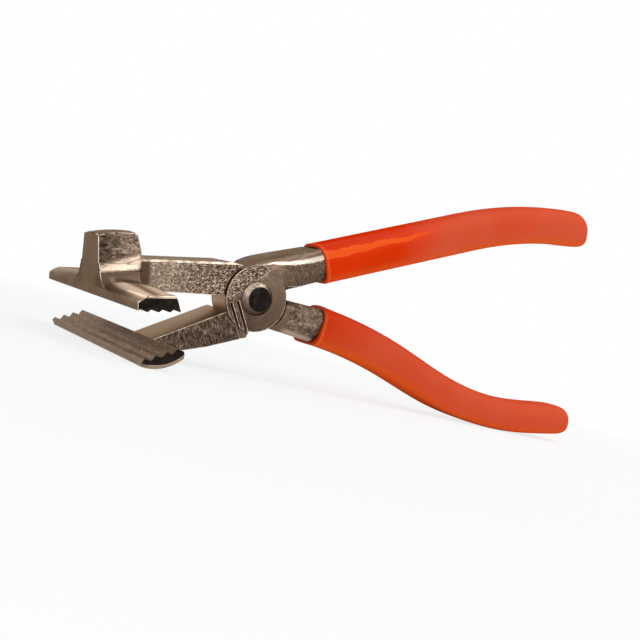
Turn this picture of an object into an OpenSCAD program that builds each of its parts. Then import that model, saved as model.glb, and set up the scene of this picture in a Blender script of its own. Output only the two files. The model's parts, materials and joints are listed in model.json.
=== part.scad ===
// Canvas stretching pliers: two cast levers that lap at one riveted joint,
// wide toothed jaws, a hammer head on the upper jaw and dipped grips.
// Each lever is drawn with the jaws closed: the pivot is at the origin, the jaws
// point to -X, the teeth meet on Z = 0 and the pivot's axis is Y.
// place_front() and place_rear() then swing the levers open and stand the tool
// on its lower jaw and its lower grip, with Z = 0 on the ground.

/* [Jaws] */
// Width of both jaws, along the pivot's axis
jaw_w = 80; // [50:1:130]
// Distance from the pivot's axis to the front of the jaws
jaw_reach = 50.4; // [46:0.2:70]
// Number of teeth across the jaws' depth
tooth_n = 4; // [3:1:5]
// Distance from one tooth to the next
tooth_pitch = 3.1; // [2.4:0.1:3.6]
// Height of a tooth, root to tip
tooth_h = 1.05; // [0.5:0.05:1.3]
// Gap left between the teeth when the jaws are closed
tooth_gap = 0.3; // [0.2:0.05:1]
// Thickness of the upper jaw at its front lip
upper_lip_t = 2.3; // [1.8:0.1:3]
// Thickness of the upper jaw at its crest, beside the hammer
upper_jaw_t = 4.9; // [4:0.1:6]
// Thickness of the upper jaw's crest at its ends
upper_end_t = 4; // [3.4:0.1:4.8]
// Thickness of the lower jaw at the lowest point of its belly
lower_jaw_t = 3.8; // [3:0.1:6]
// Radius of the lower jaw's rounded belly
belly_r = 12.6; // [9:0.2:20]
// How far the rim of the lower jaw's ends is drawn in
lower_rim = 1; // [0.3:0.1:1.4]
// How far the rim of the upper jaw's ends is drawn in
upper_rim = 0.5; // [0.2:0.1:1]

/* [Hammer] */
// Height of the crown of the hammer's face above the jaw line
hammer_h = 18.6; // [16:0.2:26]
// Width of the hammer at its face
hammer_w = 12.6; // [9:0.2:15]
// Width of the hammer just above its flared skirt
hammer_base_w = 14.8; // [10:0.2:15.6]
// Depth of the hammer at its face, front to back
hammer_depth = 12.2; // [9:0.2:16]
// How far the skirt flares out on each side
skirt_flare = 1.6; // [0.8:0.1:2.4]
// Height of the skirt's lower edge above the jaw line
skirt_z = 7; // [6:0.2:8.6]
// Radius of the sweep from the wings of the jaw up to the web
web_fillet_r = 8; // [5:0.5:12]

/* [Arms] */
// Width of both arms, along the pivot's axis
arm_w = 16; // [14:0.5:20]
// Height of the upper arm
upper_arm_h = 9.9; // [8:0.1:12]
// Height of the upper arm's top above the jaw line
upper_arm_top = 10.95; // [10:0.05:13]
// Height of the lower arm where it meets the joint
lower_arm_h = 9.7; // [8:0.1:12]
// Depth of the lower arm's top below the jaw line, at the joint
lower_arm_drop = 1.45; // [1:0.05:2.4]
// Slope of the lower arm's top, in degrees
lower_arm_slope = 4.6; // [3:0.1:6]
// Bevel along the arms' long edges
arm_bevel = 0.5; // [0.2:0.1:1]
// Number of grooves cast between the lower arm and its disc
groove_n = 2; // [1:1:3]

/* [Joint] */
// Radius of the front lever's disc
front_disc_r = 10.4; // [9:0.1:11.4]
// Radius of the rear lever's disc
rear_disc_r = 9.2; // [8.6:0.1:10.4]
// Radius of the flat on the rear lever's domed disc
rear_flat_r = 6.6; // [6:0.1:8]
// How far each disc stands proud of the arms
disc_proud = 0.7; // [0.3:0.1:1.4]
// How far the lap between the discs lies behind the middle of the arms
lap_y = 2.4; // [0:0.1:3]
// Gap between the two discs' faces
lap_gap = 0.3; // [0.2:0.05:0.6]
// Gap round each disc
disc_gap = 0.45; // [0.3:0.05:0.8]
// Radius of the rivet's shank
rivet_r = 3.5; // [2.5:0.1:4.5]
// Radial clearance of the rivet in the rear lever
rivet_clear = 0.06; // [0.02:0.01:0.1]
// Radius of the flat face on each rivet head
head_face_r = 3.9; // [3:0.1:5]
// Radius of each rivet head where it meets the lever
head_base_r = 5.4; // [5:0.1:6.5]
// Height of each rivet head
head_h = 2; // [1.2:0.1:3]

/* [Handles] */
// Height of the upper grip at its mouth
upper_grip_h = 12.8; // [12:0.2:16]
// How much higher the upper grip is at its end
upper_swell = 0.8; // [-2:0.1:2]
// Height of the lower grip at its mouth
lower_grip_h = 13.3; // [12:0.2:16]
// How much higher the lower grip is at its end
lower_swell = -2.3; // [-3:0.1:2]
// Thickness of the dipped coat
coat_t = 1.3; // [0.8:0.1:2]
// Width of both tangs inside the grips, along the pivot's axis
tang_w = 13.8; // [10:0.2:14.4]
// Rounding of the tangs' edges
tang_round = 4.7; // [2:0.1:5]
// Width of both shanks where they enter the grips
shank_w = 15; // [14.6:0.1:16]
// Distance from the pivot to the mouth of the upper grip
upper_mouth = 26.4; // [25:0.2:32]
// Straight length of the upper handle from its mouth
upper_run = 63.9; // [40:1:90]
// Radius of the upper handle's bend
upper_bend_r = 163; // [100:1:300]
// Angle of the upper handle's bend
upper_bend_angle = 17; // [8:0.2:26]
// Distance from the pivot to the mouth of the lower grip
lower_mouth = 24.8; // [24:0.2:30]
// Angle of the lower handle's first bend, away from the upper handle
lower_bend_angle = 12.7; // [8:0.1:18]
// Radius of the lower handle's first bend
lower_bend_r = 170; // [120:1:260]
// Straight length between the lower handle's two bends
lower_run = 11.6; // [6:0.2:30]
// Angle of the lower handle's second bend, back into line
lower_return_angle = 23.6; // [14:0.1:30]
// Radius of the lower handle's second bend
lower_return_r = 127; // [90:1:200]
// Straight length at the end of the lower handle
lower_tail = 13.4; // [8:0.5:30]
// Width of the rolled lip at each grip's mouth
lip_w = 1.4; // [0.8:0.1:2.4]
// How far the rolled lip stands proud
lip_h = 0.1; // [0.05:0.05:0.3]

/* [Pose] */
// Angle between the jaws at rest
open_angle = 15.1; // [8:0.1:30]

/* [Hidden] */
$fn = 64;
corner_n = 5;
bend_step_angle = 3;
end_n = 5;
eps = 0.01;

metal = [0.52, 0.44, 0.36];
dark_metal = [0.16, 0.14, 0.13];
vinyl = [0.86, 0.24, 0.09];

// Jaws: the depth is set by the teeth, so that the last tooth ends at the back.
jaw_depth = (tooth_n - 0.2) * tooth_pitch;
jaw_back = -jaw_reach + jaw_depth;
jaw_mid = -jaw_reach + jaw_depth / 2;
belly_x = jaw_mid + 1;
first_tip = -jaw_reach + 0.3 * tooth_pitch;
wave_steps = 8;
tooth_point_share = 0.94;
crest_back = 4;
crest_half = 0.225 * jaw_w;
back_lean = 1.2;
back_round = 0.6;

// Hammer: its back leans out by a casting draft, and so do its sides.
hammer_back = -jaw_reach + hammer_depth;
back_draft = 1.1;
face_crown_r = 36;
crown_back = 2.2;
crown_edge = 0.7;
skirt_edge = 0.35;
skirt_r = 3;
web_w = arm_w + 0.6;
web_floor = 0.6;

// Arms
half_arm = arm_w / 2;
upper_arm_floor = upper_arm_top - upper_arm_h;
arm_inset = 2;
arm_nose_x = -5;
arm_nose_drop = 0.9;
arm_shoulder_x = -8.5;
arm_root_rise = 1.4;
arm_waist_rise = 0.7;
arm_waist_x = jaw_back + 4;
arm_tail_drop = 0.3;
lower_waist_x = -19;
lower_waist_rise = 0.8;
lower_root_x = -29;
lower_root_rise = 2.2;
lower_nose_x = -5.2;
disc_notch = 1;
jaw_overlap = 1;
jaw_skin = 0.1;
jaw_blend_r = 3.4;
groove_w = 0.8;
groove_d = 0.5;
groove_step = 2.3;
groove_x = -7.9;
groove_lean_angle = 6;

// Joint: the front disc runs from its proud face to the lap, the rear one behind it.
front_face = -half_arm - disc_proud;
rear_face = half_arm + disc_proud;
lap_front = lap_y - lap_gap / 2;
lap_rear = lap_y + lap_gap / 2;
dome_start = 4.6;
head_gap = 0.08;
shank_top = front_disc_r + 0.7;
shank_crest_x = 8.5;
shank_brow_x = 5;
shank_root_x = 2.4;
shank_brow_drop = 0.6;
upper_shank_floor = -0.1;
upper_crotch_x = 12;
lower_shank_top = -0.6;
lower_heel = [13, -12];
lower_heel_x = 9.4;
lower_heel_drop = 0.5;
lower_toe_x = 3;
lower_toe_rise = 0.4;
lower_root_back = 2;
tang_cover = 2;
blend_flat_x = 9;
blend_end_x = 21;
blend_sink = 1;

// Handles: each tang is a rounded bar, and each grip is the same bar one coat larger.
upper_tang_h = upper_grip_h - 2 * coat_t;
lower_tang_h = lower_grip_h - 2 * coat_t;
grip_w = tang_w + 2 * coat_t;
grip_round = tang_round + coat_t;
upper_mouth_angle = -2.7;
upper_mouth_z = 4.15;
lower_mouth_angle = -15.9;
lower_mouth_z = -8.98;
lower_lead = 2.5;
lower_lean_share = 0.12;
neck_lead = 3;
mouth_gap = 0.1;
upper_shank_h = upper_tang_h + 2.2;
swell_len = 120;
lower_shank_h = lower_tang_h + 0.8;
shank_round = 4.4;
shank_len = 27;
tang_end = 8.2;
end_power_n = 1.9;
end_sweep_angle = 80;
upper_droop_share = 0.38;
lower_droop_share = 0.2;
low_round_share = 0.6;
lip_profile = [
    [0, 0.5 * coat_t],
    [0.2 * lip_w, coat_t + 0.6 * lip_h],
    [0.5 * lip_w, coat_t + lip_h],
    [0.8 * lip_w, coat_t + 0.6 * lip_h],
    [lip_w, coat_t]
];
upper_at = [upper_mouth, upper_mouth_z, upper_mouth_angle, 0];
lower_at = [lower_mouth, lower_mouth_z, lower_mouth_angle, 0];
upper_path = [[upper_run, 0], [upper_bend_r, -upper_bend_angle]];
lower_fall = [[lower_lead, 0], [lower_bend_r, -lower_bend_angle], [lower_run, 0]];
lower_path = concat(lower_fall, [[lower_return_r, lower_return_angle], [lower_tail, 0]]);

// Pose: each lever swings by its share of the opening, then the tool is tipped
// until the belly of the lower jaw and the low bend of the lower grip touch the ground.
front_share = 0.525;
front_swing = -front_share * open_angle;
rear_swing = (1 - front_share) * open_angle;

// A point turned about the pivot, where a positive angle lifts the jaws.
function swung(p, a) = [p[0] * cos(a) + p[1] * sin(a), -p[0] * sin(a) + p[1] * cos(a)];

// End of a path of straight runs and bends, as [x, z, heading, length so far].
function step_end(at, seg) = seg[1] == 0
    ? [at[0] + seg[0] * cos(at[2]), at[1] + seg[0] * sin(at[2]), at[2], at[3] + seg[0]]
    : let (s = sign(seg[1]), h = at[2] + seg[1])
      [
          at[0] + s * seg[0] * (sin(h) - sin(at[2])),
          at[1] - s * seg[0] * (cos(h) - cos(at[2])),
          h,
          at[3] + seg[0] * abs(seg[1]) * PI / 180
      ];
function path_end(at, path, i = 0) = i == len(path) ? at : path_end(step_end(at, path[i]), path, i + 1);

// The ground line touches two circles: the belly's, and the underside of the
// lower grip round its second bend. The grip thins along its length, so its size is
// taken where the second bend runs level with the ground.
ground_guess_angle = 12;
belly_at = swung([belly_x, belly_r - lower_jaw_t], front_swing);
return_at = path_end(lower_at, lower_fall);
low_share = (lower_return_r * (-return_at[2] - ground_guess_angle)) * PI / 180;
return_middle = swung([
    return_at[0] - lower_return_r * sin(return_at[2]),
    return_at[1] + lower_return_r * cos(return_at[2])
], rear_swing);
return_under = lower_return_r + grown(return_at + [0, 0, 0, low_share], lower_grip_h, lower_swell) / 2;
ground_run = return_middle - belly_at;
ground_tilt = atan2(ground_run[1], ground_run[0]) - asin((return_under - belly_r) / norm(ground_run));
ground_z = swung(belly_at, ground_tilt)[1] - belly_r;

// The frame's X = 0 is midway between the hammer's front corner and the end of the lower grip.
crown_x = (hammer_back - jaw_reach) / 2 + crown_back;
crown_drop = face_crown_r - sqrt(pow(face_crown_r, 2) - pow(crown_x + jaw_reach, 2));
rear_turn = rear_swing + ground_tilt;
left_reach = swung([-jaw_reach, hammer_h - max(2 * crown_edge, crown_drop)], rear_turn)[0];
tip_rings = bar_rings(
    lower_at, lower_path, lower_grip_h, grip_w, grip_round, tang_end + coat_t, lower_swell, lower_droop_share);
right_reach = max([for (p = tip_rings[len(tip_rings) - 1]) swung([p[0], p[2]], rear_turn)[0]]);
mid_x = (left_reach + right_reach) / 2;

// Height of the lower jaw's toothed face at x.
function pointed(share) = asin(tooth_point_share * share) / asin(tooth_point_share);
function tooth_z(x) = tooth_h / 2 * pointed(cos(360 * (x - first_tip) / tooth_pitch)) - tooth_gap / 2;
wave_n = tooth_n * wave_steps;
function wave_x(i) = -jaw_reach + jaw_depth * i / wave_n;
tooth_line = [for (i = [0:wave_n]) [wave_x(i), tooth_z(wave_x(i))]];
function lifted(points, dz) = [for (p = points) [p[0], p[1] + dz]];

// A drawing in X and Z, made solid from y0 to y1.
module slab(y0, y1) {
    translate([0, y1, 0])
        rotate([90, 0, 0])
            linear_extrude(y1 - y0)
                children();
}

// A drawing in Y and Z, made solid from x0 to x1.
module bar(x0, x1) {
    translate([x0, 0, 0])
        rotate([90, 0, 90])
            linear_extrude(x1 - x0)
                children();
}

// A round plug about the pivot's axis, from radius r0 at y0 to r1 at y1.
module taper(y0, y1, r0, r1) {
    translate([0, y1, 0])
        rotate([90, 0, 0])
            cylinder(h = y1 - y0, r1 = r1, r2 = r0);
}
module plug(y0, y1, r) {
    taper(y0, y1, r, r);
}

// A round bar as long as the jaws. With a rim, its two ends are drawn in.
module barrel(r, rim = 0) {
    $fn = 180;
    half = jaw_w / 2;
    plug(-half + rim, half - rim, r);
    if (rim > 0) {
        taper(half - rim, half, r, r - rim);
        taper(-half, -half + rim, r - rim, r);
    }
}

// A rectangle with round corners: h along the first axis, w along the second.
module rounded(h, w, r) {
    square([h - 2 * r, w], center = true);
    square([h, w - 2 * r], center = true);
    for (i = [-1, 1], j = [-1, 1])
        translate([i * (h / 2 - r), j * (w / 2 - r)])
            circle(r);
}

// The outline of a rounded bar's section, as [y, z] points round it. Its lower
// corners are tighter than its upper ones.
function section(h, w, r) = [
    for (c = [0:3], k = [0:corner_n])
        let (
            q = 90 * (c + k / corner_n),
            side = c == 0 || c == 3 ? 1 : -1,
            up = c < 2 ? 1 : -1,
            b = min(r, 0.48 * h, 0.48 * w) * (up > 0 ? 1 : low_round_share)
        )
        [side * (w / 2 - b) + b * cos(q), up * (h / 2 - b) + b * sin(q)]
];

// That outline set across a path at one station, and leant along it if need be.
function ring(at, h, w, r, lean = 0) = [
    for (p = section(h, w, r))
        let (along = lean * p[1])
        [
            at[0] - p[1] * sin(at[2]) + along * cos(at[2]),
            p[0],
            at[1] + p[1] * cos(at[2]) + along * sin(at[2])
        ]
];

// A section's size at a station, which swells or thins steadily along a handle.
function grown(at, size, swell) = size + swell * max(0, at[3]) / swell_len;

// Stations along a path: the ends of each run, and close steps round each bend.
function part_way(at, seg, k, n) = k == 0 ? at : step_end(at, [seg[0], seg[1] * k / n]);
function bend_steps(seg) = seg[1] == 0 ? 1 : ceil(abs(seg[1]) / bend_step_angle);
function stations(at, path, i = 0) = i == len(path)
    ? [at]
    : concat(
        [for (k = [0:bend_steps(path[i]) - 1]) part_way(at, path[i], k, bend_steps(path[i]))],
        stations(step_end(at, path[i]), path, i + 1)
    );

// Rings of a bar's blunt round end, from its last full section outward.
function end_share(q) = pow(1 - pow(sin(q), end_power_n), 1 / end_power_n);
function sunk(at, drop) = [at[0] + drop * sin(at[2]), at[1] - drop * cos(at[2]), at[2], at[3]];
function end_rings(at, h, w, r, len, droop) = [
    for (k = [1:end_n])
        let (q = end_sweep_angle * k / end_n, f = end_share(q), drop = droop * (1 - f) * h / 2)
        ring(sunk(step_end(at, [len * sin(q), 0]), drop), h * f, w * f, r * f)
];
function bar_rings(at, path, h, w, r, len, swell, droop) =
    let (last = path_end(at, path))
    concat(
        [for (s = stations(at, path)) ring(s, grown(s, h, swell), w, r)],
        end_rings(last, grown(last, h, swell), w, r, len, droop)
    );

// A solid skinned over rings that all have the same number of points.
module skin(rings) {
    n = len(rings[0]);
    last = len(rings) - 1;
    polyhedron(
        points = [for (loop = rings, p = loop) p],
        faces = concat(
            [
                for (i = [0:last - 1], k = [0:n - 1], half = [0, 1])
                    let (a = i * n + k, b = i * n + (k + 1) % n)
                    half == 0 ? [a, b + n, b] : [a, a + n, b + n]
            ],
            [
                [for (k = [0:n - 1]) k],
                [for (k = [n - 1:-1:0]) last * n + k]
            ]
        )
    );
}

// The tang inside a grip: it starts inside the lever's shank.
module tang(mouth, path, h, swell, droop) {
    skin(bar_rings(step_end(mouth, [-neck_lead, 0]), concat([[neck_lead, 0]], path),
        h, tang_w, tang_round, tang_end, swell, droop));
}

// The dipped coat over a tang, with a rolled lip at its mouth.
module grip(mouth, path, h, swell, droop, lean = 0) {
    inner = bar_rings(mouth, path, h, tang_w, tang_round, tang_end, swell, droop);
    coated = h + 2 * coat_t;
    outer = bar_rings(mouth, path, coated, grip_w, grip_round, tang_end + coat_t, swell, droop);
    skin(concat(
        [for (i = [len(inner) - 1:-1:1]) inner[i]],
        [for (p = concat([[0, 0]], lip_profile)) lip_ring(mouth, h, p, lean)],
        [for (i = [1:len(outer) - 1]) outer[i]]
    ));
}
function lip_ring(mouth, h, p, lean) = ring(
    step_end(mouth, [p[0], 0]), h + 2 * p[1], tang_w + 2 * p[1], tang_round + p[1], lean);

// A cast shank: its side view rounded by a bar of the tang's heading. It ends just
// short of the grip's mouth, which may lean.
module shank(mouth, h, w, lean = 0) {
    intersection() {
        slab(-w / 2, w / 2)
            children();
        translate([mouth[0], 0, mouth[1]])
            rotate([0, -mouth[2], 0])
                translate([-shank_len, 0, 0])
                    rotate([0, 90, 0])
                        linear_extrude(shank_len - mouth_gap - lean * h / 2)
                            rounded(h, w, shank_round);
    }
}

// The front disc's face runs on into the upper shank and sinks into it.
module shank_blend() {
    intersection() {
        shank(upper_at, upper_shank_h, -2 * front_face)
            upper_shank_side();
        translate([0, 0, -shank_top])
            linear_extrude(2 * shank_top)
                polygon([
                    [0, front_face],
                    [blend_flat_x, front_face],
                    [blend_end_x, -shank_w / 2 + blend_sink],
                    [blend_end_x, 0],
                    [0, 0]
                ]);
    }
}

// Side view of the lower jaw: teeth above, round belly below.
module lower_jaw() {
    intersection() {
        slab(-jaw_w / 2, jaw_w / 2)
            polygon(concat(tooth_line, [[jaw_back, -belly_r], [-jaw_reach, -belly_r]]));
        translate([belly_x, 0, belly_r - lower_jaw_t])
            barrel(belly_r, lower_rim);
    }
}

// Side view of the lower arm, from under the jaw to the joint.
arm_tan = tan(lower_arm_slope);
function lower_arm_top(x) = -lower_arm_drop + (x + front_disc_r) * arm_tan;
lower_arm_floor = -lower_arm_drop - lower_arm_h;
module lower_arm_side() {
    polygon([
        [jaw_mid - jaw_overlap, -tooth_h - tooth_gap - jaw_overlap],
        [jaw_back, -tooth_h - tooth_gap],
        [jaw_back + jaw_blend_r * 0.35, lower_arm_top(jaw_back) + jaw_blend_r * 0.25],
        [jaw_back + jaw_blend_r, lower_arm_top(jaw_back + jaw_blend_r)],
        [-front_disc_r, lower_arm_top(-front_disc_r)],
        [0, lower_arm_top(-front_disc_r)],
        [0, -front_disc_r + disc_notch],
        [lower_nose_x + disc_notch, -front_disc_r + disc_notch],
        [lower_nose_x, lower_arm_floor],
        [lower_waist_x, lower_arm_floor + lower_waist_rise],
        [lower_root_x, lower_arm_floor + lower_root_rise],
        [jaw_mid + jaw_overlap, -lower_jaw_t + jaw_skin]
    ]);
}

module front_lever_body() {
    lower_jaw();
    slab(-half_arm, half_arm)
        lower_arm_side();
    plug(front_face, lap_front, front_disc_r);
    shank(upper_at, upper_shank_h, shank_w)
        upper_shank_side();
    shank_blend();
    tang(upper_at, upper_path, upper_tang_h, upper_swell, upper_droop_share);
}

// Side view of the upper shank, from the joint to the grip.
module upper_shank_side() {
    polygon([
        [0, upper_shank_floor],
        [upper_crotch_x, upper_shank_floor],
        [upper_mouth + tang_cover, upper_mouth_z - upper_tang_h / 2 - head_gap],
        [upper_mouth + tang_cover, upper_mouth_z + upper_tang_h / 2 - head_gap],
        [shank_crest_x, shank_top],
        [shank_brow_x, shank_top],
        [shank_root_x, shank_top - shank_brow_drop],
        [0, front_disc_r - disc_notch]
    ]);
}

module front_lever() {
    color(metal)
        place_front()
            difference() {
                front_lever_body();
                plug(lap_front, rear_face, rear_disc_r + disc_gap);
                plug(front_face - head_h, rear_face, rivet_r);
                for (i = [0:groove_n - 1])
                    translate([groove_x + i * groove_step, front_face, lower_arm_floor])
                        rotate([0, -groove_lean_angle, 0])
                            translate([0, 0, -groove_w])
                                cube([groove_w, disc_proud + groove_d, lower_arm_h + 4 * groove_w]);
            }
}

// Side view of the upper jaw: teeth below, and a back that arches up from a thin lip.
arch_run = jaw_depth - crest_back;
arch_rise = upper_jaw_t - upper_lip_t;
arch_r = (pow(arch_run, 2) + pow(arch_rise, 2)) / (2 * arch_rise);
module upper_jaw_side() {
    polygon(concat(
        lifted(tooth_line, tooth_gap),
        [
            [jaw_back - back_lean, upper_end_t - back_round],
            [jaw_back - back_lean - back_round / 2, upper_end_t],
            [jaw_back - back_lean - 2 * back_round, upper_jaw_t],
            [-jaw_reach, upper_jaw_t]
        ]
    ));
}

// Front view of the upper jaw's back: it falls away toward the jaw's ends.
module upper_jaw_front() {
    half = jaw_w / 2;
    polygon([
        [-half, -tooth_h],
        [-half, upper_end_t - upper_rim],
        [-half + upper_rim, upper_end_t],
        [-crest_half, upper_jaw_t],
        [crest_half, upper_jaw_t],
        [half - upper_rim, upper_end_t],
        [half, upper_end_t - upper_rim],
        [half, -tooth_h]
    ]);
}

module upper_jaw() {
    intersection() {
        slab(-jaw_w / 2, jaw_w / 2)
            upper_jaw_side();
        bar(-jaw_reach, jaw_back)
            upper_jaw_front();
        translate([-jaw_reach + arch_run, 0, upper_jaw_t - arch_r])
            barrel(arch_r);
    }
}

// Side view of the hammer: a plumb front and a drafted back.
module hammer_side() {
    polygon([
        [-jaw_reach, tooth_h / 2],
        [-jaw_reach, hammer_h - 2 * crown_edge],
        [-jaw_reach + crown_edge, hammer_h],
        [hammer_back - crown_edge, hammer_h],
        [hammer_back, hammer_h - 3 * crown_edge],
        [hammer_back + back_draft, upper_arm_top],
        [hammer_back + back_draft, tooth_h / 2]
    ]);
}

// Front view of the hammer above its skirt, with drafted sides.
module hammer_front() {
    edge = hammer_w / 2;
    base = hammer_base_w / 2;
    polygon([
        [-edge + crown_edge, hammer_h],
        [-edge, hammer_h - 2 * crown_edge],
        [-base, skirt_z + skirt_r],
        [-base, skirt_z],
        [base, skirt_z],
        [base, skirt_z + skirt_r],
        [edge, hammer_h - 2 * crown_edge],
        [edge - crown_edge, hammer_h]
    ]);
}

// Front view of the skirt: its sides sweep out to a thin edge.
module skirt_front() {
    half = hammer_base_w / 2 + skirt_flare;
    difference() {
        translate([-half, skirt_z])
            square([2 * half, skirt_r]);
        for (s = [-1, 1])
            translate([s * half, skirt_z + skirt_edge + skirt_r])
                circle(skirt_r);
    }
}

// Front view of the web under the hammer: swept out into the jaw's wings.
module web_front() {
    half = web_w / 2;
    foot = half + web_fillet_r;
    difference() {
        translate([-foot, web_floor])
            square([2 * foot, upper_lip_t + web_fillet_r - web_floor - 1]);
        for (s = [-1, 1])
            translate([s * (foot + eps), upper_lip_t + web_fillet_r - eps])
                circle(web_fillet_r);
    }
}

module hammer() {
    intersection() {
        translate([crown_x, 0, hammer_h - face_crown_r])
            sphere(face_crown_r, $fn = 128);
        slab(-arm_w, arm_w)
            hammer_side();
        bar(-jaw_reach, hammer_back + back_draft)
            union() {
                hammer_front();
                skirt_front();
            }
    }
}

module upper_arm() {
    bevel_w = arm_w - 2 * arm_bevel;
    intersection() {
        slab(-half_arm, half_arm)
            polygon([
                [-jaw_reach + arm_inset, upper_arm_floor + arm_root_rise],
                [-jaw_reach + arm_inset, skirt_z],
                [hammer_back, upper_arm_top],
                [arm_shoulder_x, upper_arm_top],
                [arm_nose_x, upper_arm_top - arm_nose_drop],
                [arm_nose_x, 0],
                [-front_disc_r, upper_arm_floor - arm_tail_drop],
                [arm_waist_x, upper_arm_floor + arm_waist_rise],
                [jaw_back, upper_arm_floor + arm_root_rise]
            ]);
        bar(-jaw_reach, 0)
            polygon([
                [-half_arm, -upper_arm_h],
                [-half_arm, upper_arm_top - arm_bevel],
                [-bevel_w / 2, upper_arm_top],
                [bevel_w / 2, upper_arm_top],
                [half_arm, upper_arm_top - arm_bevel],
                [half_arm, -upper_arm_h]
            ]);
    }
}

// Side view of the lower shank, from the joint to the grip.
module lower_shank_side() {
    polygon([
        [lower_root_back, lower_shank_top],
        [upper_crotch_x, lower_shank_top],
        [lower_mouth + tang_cover, lower_mouth_z + lower_tang_h / 2 - head_gap],
        [lower_mouth + tang_cover, lower_mouth_z - lower_tang_h],
        lower_heel,
        [lower_heel_x, -front_disc_r - lower_heel_drop],
        [lower_toe_x, -front_disc_r + lower_toe_rise],
        [lower_root_back, -front_disc_r + shank_round]
    ]);
}

// The rear lever's disc: a plain edge at the lap, and a domed back.
module rear_disc() {
    plug(lap_rear, dome_start, rear_disc_r);
    taper(dome_start, rear_face, rear_disc_r, rear_flat_r);
}

module rear_lever_body() {
    upper_jaw();
    intersection() {
        slab(-jaw_w / 2, jaw_w / 2)
            hammer_side();
        bar(-jaw_reach, jaw_back)
            web_front();
    }
    hammer();
    upper_arm();
    rear_disc();
    shank(lower_at, lower_shank_h, shank_w, lower_lean_share)
        lower_shank_side();
    tang(lower_at, lower_path, lower_tang_h, lower_swell, lower_droop_share);
}

module rear_lever() {
    color(metal)
        place_rear()
            difference() {
                rear_lever_body();
                plug(front_face, lap_rear, front_disc_r + disc_gap);
                plug(front_face, rear_face + head_h, rivet_r + rivet_clear);
            }
}

module pivot_rivet() {
    color(dark_metal)
        place_front() {
            plug(front_face, rear_face + head_gap, rivet_r);
            taper(front_face - head_h, front_face, head_face_r, head_base_r);
            taper(rear_face + head_gap, rear_face + head_gap + head_h, head_base_r, head_face_r);
        }
}

module upper_grip() {
    color(vinyl)
        place_front()
            grip(upper_at, upper_path, upper_tang_h, upper_swell, upper_droop_share);
}

module lower_grip() {
    color(vinyl)
        place_rear()
            grip(lower_at, lower_path, lower_tang_h, lower_swell, lower_droop_share, lower_lean_share);
}

module stand() {
    translate([-mid_x, 0, -ground_z])
        rotate([0, ground_tilt, 0])
            children();
}

module place_front() {
    stand()
        rotate([0, front_swing, 0])
            children();
}

module place_rear() {
    stand()
        rotate([0, rear_swing, 0])
            children();
}

front_lever();
rear_lever();
pivot_rivet();
upper_grip();
lower_grip();
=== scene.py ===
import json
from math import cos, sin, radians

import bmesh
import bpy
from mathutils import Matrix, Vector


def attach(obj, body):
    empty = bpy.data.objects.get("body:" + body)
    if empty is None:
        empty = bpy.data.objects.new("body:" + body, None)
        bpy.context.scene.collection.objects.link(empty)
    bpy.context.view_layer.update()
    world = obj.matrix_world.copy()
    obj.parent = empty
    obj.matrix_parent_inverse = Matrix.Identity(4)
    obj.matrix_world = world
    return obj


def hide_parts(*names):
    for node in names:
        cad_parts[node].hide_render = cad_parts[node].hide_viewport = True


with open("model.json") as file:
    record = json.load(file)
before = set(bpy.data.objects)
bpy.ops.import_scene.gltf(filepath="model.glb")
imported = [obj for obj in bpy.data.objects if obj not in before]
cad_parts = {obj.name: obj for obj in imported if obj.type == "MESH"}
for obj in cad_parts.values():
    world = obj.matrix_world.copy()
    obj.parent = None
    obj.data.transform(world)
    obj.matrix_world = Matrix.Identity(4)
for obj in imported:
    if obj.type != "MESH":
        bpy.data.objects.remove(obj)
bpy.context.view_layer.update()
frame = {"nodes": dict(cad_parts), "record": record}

# %% [markdown]
# Canvas stretching pliers
#
# A painter uses this tool to pull canvas over the edge of a wooden stretcher bar. Wide toothed
# jaws hold the cloth, the block on the upper jaw is a hammer and a fulcrum, and the two cast
# levers turn on one rivet. The handles are dipped in vinyl. The frame that is loaded above
# already holds every solid at its true size, so this lesson dresses it: first the camera, then
# the finishes, then the castings, the rivet and the grips, and last the light.

# %% [markdown]
# Where the parts stand
#
# Both levers turn about the rivet, which lies along Y. Each finish and each grip is easiest to
# describe in its lever's own frame, in millimetres: the pivot is at the origin, the jaw points
# to -X and the teeth lie on Z = 0. The joint's place comes from the record, and the two angles
# say how far each lever has turned in the frame from that closed, level position. The places
# below come back in many finishes: x of the jaws' front edge and of the hammer's back, y of the
# arms' sides, of the front disc's face and of the jaws' ends, and the front disc's radius.

# %% The levers' own frames
MM = 0.001
pivot = Vector(frame["record"]["behaviour"]["joints"][0]["pos_m"])
FRONT_TURN = -27.2142
REAR_TURN = -12.1142

JAW_FRONT = -50.4
HAMMER_BACK = -38.2
ARM_SIDE = 8.0
DISC_FACE = 8.7
JAW_END = 40.0
DISC_RADIUS = 10.4


def lever_matrix(turn):
    """From a lever's own frame, in millimetres, to the tool's frame, in metres."""
    return Matrix.Translation(pivot) @ Matrix.Rotation(radians(turn), 4, "Y") @ Matrix.Scale(MM, 4)


for name, turn in (("lower", FRONT_TURN), ("upper", REAR_TURN)):
    edge = lever_matrix(turn) @ Vector((JAW_FRONT, 0, 0))
    print(name, "jaw's front edge at", [round(v, 4) for v in edge])

# %% [markdown]
# The camera
#
# The photograph is taken from close by, from the jaws' side and a little above the levers. The
# camera's place was found by fitting the corners of the jaws, the disc and the grips. The tool
# is tipped in the photograph, so the camera is rolled about its own line of sight.

# %% Setting the camera
FOCAL_PIXELS = 1000
PICTURE_PIXELS = 640
SENSOR_MM = 36

right_way = Vector((0.81951, -0.5147, 0.25197))
up_way = Vector((-0.21087, 0.13799, 0.96772))
back_way = right_way.cross(up_way)
eye = Vector((-0.195824, -0.279738, 0.024648))

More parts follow.
